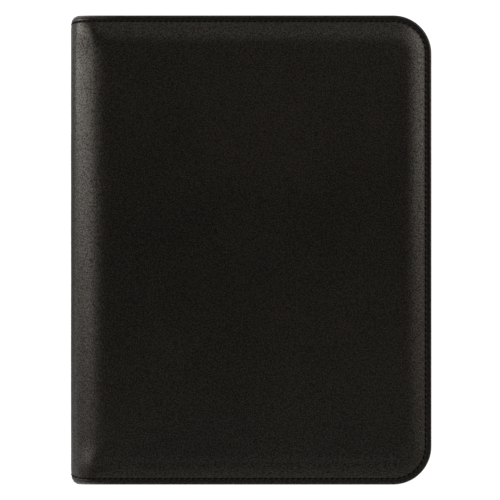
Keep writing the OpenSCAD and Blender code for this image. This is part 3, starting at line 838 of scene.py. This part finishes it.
def strip_uv(obj, along, across):
    """Gives a strip UV coordinates in metres from one pair of numbers for each vertex."""
    corner = np.empty(len(obj.data.loops), np.int32)
    obj.data.loops.foreach_get("vertex_index", corner)
    layer = obj.data.uv_layers.new(name="strip")
    layer.data.foreach_set("uv", np.stack([along, across], axis=-1)[corner].ravel())


def make_tape(name, front):
    last = len(TAPE_SECTION) - 1
    obj = add_grid(name, (X_BEND, 0), (CORNER_X, last), RUN_STEPS, last)
    object_mode()
    x, row, _ = places(obj).T
    radius, z = TAPE_SECTION[np.rint(row).astype(int)].T
    move_to(obj, np.stack([x, -CORNER_Y - radius, z], axis=-1))
    near = 0.02 * MM
    pick_edges(obj, lambda co: np.abs(co[:, 0] - CORNER_X) < near)
    quarter = {"steps": TURN_STEPS, "angle": -math.pi / 2, "axis": (0, 0, 1)}
    bpy.ops.mesh.spin(center=(CORNER_X, -CORNER_Y, 0), **quarter)
    pick_edges(obj, lambda co: (np.abs(co[:, 1] + CORNER_Y) < near) & (co[:, 0] > CORNER_X))
    extrude(*[(0, 2 * CORNER_Y / SIDE_STEPS, 0)] * SIDE_STEPS)
    pick_edges(obj, lambda co: (np.abs(co[:, 1] - CORNER_Y) < near) & (co[:, 0] > CORNER_X))
    bpy.ops.mesh.spin(center=(CORNER_X, CORNER_Y, 0), **quarter)
    pick_edges(obj, lambda co: (np.abs(co[:, 0] - CORNER_X) < near) & (co[:, 1] > CORNER_Y))
    extrude(*[((X_BEND - CORNER_X) / RUN_STEPS, 0, 0)] * RUN_STEPS)
    for side in (1, -1):
        pick_edges(
            obj,
            lambda co: (np.abs(co[:, 0] - X_BEND) < 2 * near) & (side * co[:, 1] > 0) & (co[:, 2] < WALL_TOP + near),
        )
        extrude(*[(-LOBE_W / LOBE_STEPS, 0, 0)] * LOBE_STEPS)
    weld(0.01 * MM)
    co = places(obj)
    strip_uv(obj, *tape_spots(co))
    beyond = np.clip((X_BEND - co[:, 0]) / LOBE_W, 0, 1)
    foot, bend_z = TAPE_SECTION[0, 1], CASE_T - BEND_R
    top = bend_z + (WALL_TOP - bend_z) * np.sqrt(1 - (0.995 * beyond) ** 2)
    co[:, 2] = np.where(beyond > 0.01, foot + (co[:, 2] - foot) * (top - foot) / (WALL_TOP - foot), co[:, 2])
    move_to(obj, co if front else co * (1, 1, -1) + (0, 0, CASE_T))
    face_along(obj, (1, 0, 0), (CORNER_X + WALL_R, 0, 0.030 if front else 0.012))
    thicken(obj, 0.6 * MM, 0, tape_cloth)
    length = 2 * (CORNER_X - X_BEND + LOBE_W) + 2 * CORNER_Y + math.pi * WALL_R
    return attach(obj, "front_cover" if front else "back_cover")


front_tape = make_tape("front_tape", True)
back_tape = make_tape("back_tape", False)
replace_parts(front_tape, "front_zip_tape")
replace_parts(back_tape, "back_zip_tape")
print("tape faces:", len(front_tape.data.polygons))

# %% [markdown]
# The tape is sewn to the hem by one row of small stitches. A row of stitches is laid along any line of points:
# the line is measured, and a stitch is set down at each step of the needle.

# %% Seams of the tapes
small_stitch = make_stitch(2.9 * MM, 0.55 * MM)
SMALL_SLANT = 0.1


def run_along(points):
    """Distance along a line of points from its start to each of them."""
    return np.concatenate([[0], np.cumsum(np.linalg.norm(np.diff(points, axis=0), axis=1))])


def stitches_on(points, pitch, up):
    """Matrices for stitches along a line of points, all standing up the same way."""
    points = np.array(points, float)
    run = run_along(points)
    count = max(1, round(run[-1] / pitch))

    def at(distance):
        return np.array([np.interp(distance, run, points[:, i]) for i in range(3)])

    middles = (np.arange(count) + 0.5) * run[-1] / count
    return [standing(at(m), at(m + 0.3 * pitch) - at(m - 0.3 * pitch), up, SMALL_SLANT) for m in middles]


def make_tape_seam(name, front):
    first = int(COLUMNS * S_PANEL / S_CORNER) + 2
    cut = [around_cut(step, 7.6 * MM) for step in np.arange(first, WHOLE_STEPS - first + 0.01, 0.5)]
    points = [wrap(s, y, COVER_T, front) for s, y in cut]
    spots = stitches_on(points, 4 * MM, (0, 0, -1 if front else 1))
    print("stitches in", name, len(spots))
    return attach(sew(small_stitch, name, spots), "front_cover" if front else "back_cover")


make_tape_seam("front_tape_seam", True)
make_tape_seam("back_tape_seam", False)

# %% [markdown]
# ## Pockets
# The front cover's inside carries a tall document pocket and three card pockets, all of thin leather sewn on
# three sides and open towards the head. A bevelled box would look like a block of rubber. So a pocket starts as
# a grid for its middle, its mouth gets a folded hem, and its sewn sides are extruded row by row: off the slight
# bulge, through the seam's furrow, over the edge.

# %% The patch of a pocket
CEILING = CASE_T - COVER_T
PATCH_FACE, POCKET_SEAM, SEAM_DROP, EDGE_DROP = 3.5, 3.0, 1.0, 1.7
POCKET_EDGE = [
    (14, 0), (11, 0.06), (8.5, 0.2), (6.5, 0.4), (4.8, 0.62), (3.7, 0.8), (POCKET_SEAM, SEAM_DROP),
    (2.3, 0.84), (1.3, 0.84), (0.4, 0.95), (0.08, 1.25), (0, EDGE_DROP),
]
MOUTH_HEM = [(0.4, 0.1), (0.4, 0.12), (6.2, 0), (0.6, -0.04), (0.35, -0.12), (0.12, -0.22)]
HEM_W = sum(step for step, _ in MOUTH_HEM)


def make_pocket(name, low, high, radius, lift, full):
    """A patch that is `full` millimetres off what lies under it, and open at its upper edge. Sizes in mm."""
    mid, half = (low[0] + high[0]) / 2, (high[0] - low[0]) / 2
    columns, lines = (round((b - a) / PATCH_FACE) for a, b in zip(low, high))
    corner = ((low[0] + radius) * MM, (low[1] + radius) * MM)
    head = ((high[0] - radius) * MM, (high[1] - HEM_W) * MM)
    obj = add_grid(name, corner, head, columns, lines)
    pick_edges(obj, lambda co: np.abs(co[:, 1] - head[1]) < TINY)
    extrude(*[(0, step * MM, rise * MM) for step, rise in MOUTH_HEM])
    rows = [((radius - d) * MM, -drop * full / EDGE_DROP * MM) for d, drop in POCKET_EDGE if d < radius]
    round_sides(obj, rows, 8, ((0, -1), (0, 1), (1, -1)), ((-1, -1), (1, -1)))
    x, y, z = places(obj).T / MM
    bow = ease((y - high[1] + 40) / 40) * (1 - ((x - mid) / half) ** 2)
    height = lift + np.maximum(full + z + 0.25 * bow, 0)
    move_to(obj, MM * np.stack([x, y - 0.8 * bow, CEILING / MM - height], axis=-1))
    face_along(obj, (0, 0, -1), (mid * MM, (low[1] + high[1]) / 2 * MM, CEILING))
    thicken(obj, 0.6 * MM, -1, pocket_leather)
    2 * half * MM
    (high[1] - low[1]) * MM
    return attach(obj, "front_cover")


print("hem of a pocket's mouth in mm:", round(HEM_W, 2))

# %% [markdown]
# One seam runs round a pocket's three sewn sides. Another holds its hem, and follows the bow of the mouth.

# %% Pockets and their seams
POCKET_PITCH = 3.4 * MM
# Lower and upper corner, corner radius, lift and fullness of each pocket.
DOCUMENT = ((-52.2, -156.8), (117.8, 39.2), 15.3, 0, 1.75)
CARD_LAYER, CARD_STEP = 1.3, 18
CARDS = [((12.9, 65.9), (110.9, 149.9 - i * CARD_STEP), 6.5, i * CARD_LAYER, 1.05) for i in range(3)]


def sew_pocket(name, low, high, radius, lift, full):
    """The seam round the three stitched sides of a pocket, and the one that holds its hem."""
    mid, half = (low[0] + high[0]) / 2, (high[0] - low[0]) / 2
    height, turn = lift + full * (1 - SEAM_DROP / EDGE_DROP), radius - POCKET_SEAM
    arc = np.linspace(0, math.pi / 2, 7)
    sides = [(low[0] + POCKET_SEAM, high[1] - 1)]
    sides += [(low[0] + radius - turn * math.cos(a), low[1] + radius - turn * math.sin(a)) for a in arc]
    sides += [(2 * mid - x, y) for x, y in reversed(sides)]
    line = [(x * MM, y * MM, CEILING - (height + 0.08) * MM) for x, y in sides]
    spots = stitches_on(line, POCKET_PITCH, (0, 0, -1))
    row = []
    for x in np.linspace(low[0] + 5, high[0] - 5, 25):
        bow = 1 - ((x - mid) / half) ** 2
        dip = full * np.interp(half - abs(x - mid), *zip(*[(d, drop / EDGE_DROP) for d, drop in POCKET_EDGE[::-1]]))
        y, up = high[1] - HEM_W + 2 - 0.7 * bow, lift + full - dip + 0.28 + 0.24 * bow
        row.append((x * MM, y * MM, CEILING - up * MM))
    spots += stitches_on(row, POCKET_PITCH, (0, 0, -1))
    print("stitches in", name, len(spots))
    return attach(sew(small_stitch, name, spots), "front_cover")


document_patch = make_pocket("document_patch", *DOCUMENT)
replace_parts(document_patch, "document_pocket")
sew_pocket("document_seam", *DOCUMENT)
for i, card in enumerate(CARDS):
    card_patch = make_pocket(f"card_patch_{i + 1}", *card)
    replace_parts(card_patch, "card_pockets")
    sew_pocket(f"card_seam_{i + 1}", *card)
print("document pocket faces:", len(document_patch.data.polygons))

# %% [markdown]
# ## Pen loop
# The pen loop is a band of ribbed elastic, sewn down along both ends, so its section looks like an omega. A tube
# would have no feet to sew through, so a grid is bent to that line instead. It is a little narrower where it
# is stretched round the pen.

# %% Pen loop
PEN_X, PEN_Y, PEN_Z, PEN_R, PEN_L = -62.7, 60, 29.5, 5.9, 30
side_line = [(-8.4, 35.55), (-6.4, 35.55), (-4.4, 35.55), (-3.1, 35.45), (-2.55, 35.1), (-2.8, 34.75)]
turns = np.radians(np.linspace(33, 327, 30))
round_line = [(-PEN_R * math.sin(a), PEN_Z + PEN_R * math.cos(a)) for a in turns]
loop_line = np.array([*side_line, *round_line, *((-x, z) for x, z in side_line[::-1])])
loop_run = run_along(loop_line)
pen_elastic = add_grid("pen_elastic", (0, -PEN_L / 2 * MM), (loop_run[-1] * MM, PEN_L / 2 * MM), 64, 12)
object_mode()
run, y, _ = places(pen_elastic).T
strip_uv(pen_elastic, run, y)
line_x, line_z = (np.interp(run / MM, loop_run, loop_line[:, i]) * MM for i in (0, 1))
waist = 1 - 0.05 * np.clip((35 * MM - line_z) / (11 * MM), 0, 1)
move_to(pen_elastic, np.stack([PEN_X * MM + line_x, PEN_Y * MM + y * waist, line_z], axis=-1))
face_along(pen_elastic, (0, 0, -1), (PEN_X * MM, PEN_Y * MM, (PEN_Z - PEN_R) * MM))
thicken(pen_elastic, 0.8 * MM, 0, elastic_cloth)
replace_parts(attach(pen_elastic, "front_cover"), "pen_loop")

pen_rows = []
for x in (PEN_X - 7.2, PEN_X + 7.2):
    ends = [(x * MM, (PEN_Y + e * (PEN_L / 2 - 1)) * MM, 35.12 * MM) for e in (-1, 1)]
    pen_rows += stitches_on(ends, 3 * MM, (0, 0, -1))
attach(sew(small_stitch, "pen_seam", pen_rows), "front_cover")
print("pen loop elastic in mm:", round(loop_run[-1], 1))

# %% [markdown]
# ## End tabs
# A leather tab covers each end of the zip. It starts as a plane whose outer corners are bevelled round. It is
# then extruded, and inset again and again for its soft edge and the furrow of its seam, so that every row of
# faces runs along the edge.

# %% End tabs
tab_low, tab_high = (Vector(v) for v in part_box("zip_end_tabs"))
TAB_H = tab_high.z - tab_low.z
TAB_X, TAB_Y = (tab_low.x + tab_high.x) / 2, tab_high.y - 1.2 * MM
deselect_all()
bpy.ops.mesh.primitive_plane_add(size=1)
tab = named("end_tab")
bpy.ops.transform.resize(value=(tab_high.x - tab_low.x, TAB_H, 1))
bpy.ops.transform.translate(value=(TAB_X, 0, 0))
pick_edges(tab, lambda co: co[:, 0] > tab_high.x - TINY)
bpy.context.tool_settings.mesh_select_mode = (True, False, False)
bpy.ops.mesh.bevel(offset=TAB_H * 0.49, segments=8, affect="VERTICES")
bpy.ops.mesh.select_all(action="SELECT")
extrude((0, 0, 0.75 * MM))
for thickness, depth in ((0.3, 0.25), (0.7, 0.12), (0.35, -0.2), (0.35, 0.2), (1.2, 0.1)):
    bpy.ops.mesh.inset(thickness=thickness * MM, depth=depth * MM)
bpy.ops.mesh.select_all(action="SELECT")
bpy.ops.mesh.normals_make_consistent(inside=False)
object_mode()
tab_flat = places(tab)
turn = TAB_H / 2 - 1.25 * MM
turns = np.linspace(-math.pi / 2, math.pi / 2, 13)
bow = [(tab_high.x - TAB_H / 2 + turn * math.cos(a), MID_Z + turn * math.sin(a)) for a in turns]
outline = [(tab_low.x + 1.2 * MM, MID_Z - turn), *bow, (tab_low.x + 1.2 * MM, MID_Z + turn)]
for side, end in ((1, "head"), (-1, "foot")):
    one = twin(tab, f"{end}_tab")
    move_to(one, np.stack([tab_flat[:, 0], side * (TAB_Y + tab_flat[:, 2]), MID_Z + tab_flat[:, 1]], axis=-1))
    face_along(one, (0, side, 0), (TAB_X, side * (TAB_Y + 0.01), MID_Z))
    cover_leather.on(one)
    smooth(one)
    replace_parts(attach(one, "back_cover"), "zip_end_tabs")
    spots = stitches_on([(x, side * (TAB_Y + 1.02 * MM), z) for x, z in outline], 2.9 * MM, (0, side, 0))
    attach(sew(small_stitch, f"{end}_tab_seam", spots), "back_cover")
print("height of an end tab in mm:", round(TAB_H / MM, 1))
bpy.data.objects.remove(tab)

# %% [markdown]
# ## Camera and floor
# The photograph looks straight down and shows no perspective, so the camera stands six metres up with a very
# long lens. The floor glows white for the camera. To mirrored rays it glows only some way off, or the leather's
# lower edges would shine.

# %% Camera
camera_data = bpy.data.cameras.new("camera")
camera_data.lens = 595.9
camera = bpy.data.objects.new("camera", camera_data)
camera.location = (-0.0007, 0.0, 6.0)
bpy.context.scene.collection.objects.link(camera)
bpy.context.scene.camera = camera
print("camera height in metres:", camera.location.z)

# %% Floor
deselect_all()
bpy.ops.mesh.primitive_plane_add(size=8)
floor = named("floor")
bpy.ops.mesh.subdivide(number_cuts=3)
object_mode()
floor_white = Finish("white_floor", Roughness=0.9, Specular_IOR_Level=0.0, Emission_Strength=1.0)
seen, mirrored, through = (
    floor_white.node("ShaderNodeLightPath", out=f"Is {ray} Ray") for ray in ("Camera", "Glossy", "Transmission")
)
# Mirrored rays see the floor's glow fade out close to the case: a painted shadow round it.
spot = floor_white.stretched((5.0, 4.2, 0.0))
beside = floor_white.node("ShaderNodeVectorMath", {"operation": "LENGTH"}, {0: spot}, out="Value")
away = floor_white.node("ShaderNodeMapRange", None, {"Value": beside, "From Min": 0.8, "From Max": 1.7})
glow = seen + (mirrored + through) * away
floor_white.feed(
    Base_Color=(0.32, 0.32, 0.32, 1),
    Emission_Color=floor_white.tint(glow, (0, 0, 0), (0.92, 0.92, 0.92)),
)
floor_white.on(floor)
print("floor in metres:", floor.dimensions.xy[:])

# %% [markdown]
# ## Light
# Glossy leather mirrors its lamps, so each softbox is set by the elevation it fills, which decides the slope that
# shows it, and by its radiance. Four at -X draw the bright band down the rounded spine, three at +X pick out the
# crown on the right, and two dim cards light the head and the foot. The sky is pale at the horizon and dark
# overhead, so the flat panel, which mirrors what is straight above it, stays black.

# %% Lamps
LAMP_AWAY = 1.2
SOFTBOXES = (
    # name, side, lowest and highest elevation in degrees, reach along the other axis in metres, radiance
    ("spine_low", (-1, 0), 0, 19, (0.13, 0.60), 5.0),
    ("spine_middle", (-1, 0), 18, 40, (0.03, 0.55), 3.1),
    ("spine_high", (-1, 0), 38, 58, (-0.07, 0.50), 1.75),
    ("spine_top", (-1, 0), 56, 70, (-0.11, 0.25), 0.75),
    ("crown_low", (1, 0), 26, 46, (0.05, 1.05), 1.7),
    ("crown_high", (1, 0), 44, 62, (0.05, 1.05), 2.1),
    ("crown_top", (1, 0), 62, 72, (0.05, 0.50), 0.5),
    ("head_card", (0, 1), 58, 78, (-0.15, 0.60), 0.34),
    ("foot_card", (0, -1), 72, 81, (-0.40, 0.40), 0.45),
)
for name, (x, y), low, high, (start, end), radiance in SOFTBOXES:
    tilt, spread = math.radians((low + high) / 2), math.radians(high - low)
    out, up = LAMP_AWAY * math.cos(tilt), LAMP_AWAY * math.sin(tilt)
    facing = Vector((x * out, y * out, up))
    lamp = bpy.data.lights.new(name, "AREA")
    lamp.shape, lamp.size, lamp.size_y = "RECTANGLE", end - start, LAMP_AWAY * spread
    lamp.energy = radiance * math.pi * lamp.size * lamp.size_y
    holder = bpy.data.objects.new(name, lamp)
    holder.location = facing + Vector((abs(y), abs(x), 0)) * (start + end) / 2
    holder.rotation_euler = facing.to_track_quat("Z", "Y").to_euler()
    bpy.context.scene.collection.objects.link(holder)
print("softboxes:", len(SOFTBOXES))

# %% Sky
SKY = ((0, 1.0), (14, 0.85), (31, 0.62), (50, 0.50), (66, 0.36), (73, 0.16), (80, 0.03))
world = bpy.data.worlds.new("studio")
bpy.context.scene.world = world
world.use_nodes = True
sky = Nodes(world.node_tree)
height = sky.node("ShaderNodeSeparateXYZ", None, {0: sky.node("ShaderNodeTexCoord", out="Generated")}, out="Z")
stops = [(math.sin(math.radians(elevation)), (level, level, level, 1)) for elevation, level in SKY]
ramp = sky.node("ShaderNodeValToRGB", {"stops": stops}, {0: height}, out="Color")
diffuse = sky.node("ShaderNodeLightPath", out="Is Diffuse Ray")
sky.join(sky.tree.nodes["Background"].inputs["Color"], sky.mix(diffuse, ramp, (0.6, 0.6, 0.6, 1)))
bpy.context.scene.view_settings.view_transform = "Standard"
print("stops in the sky:", len(SKY))

# %% [markdown]
# ## Finishing
# The flat half and the single stitches were only patterns, so they go.

# %% Remove the patterns
for helper in (flat, one_stitch, small_stitch):
    bpy.data.objects.remove(helper)
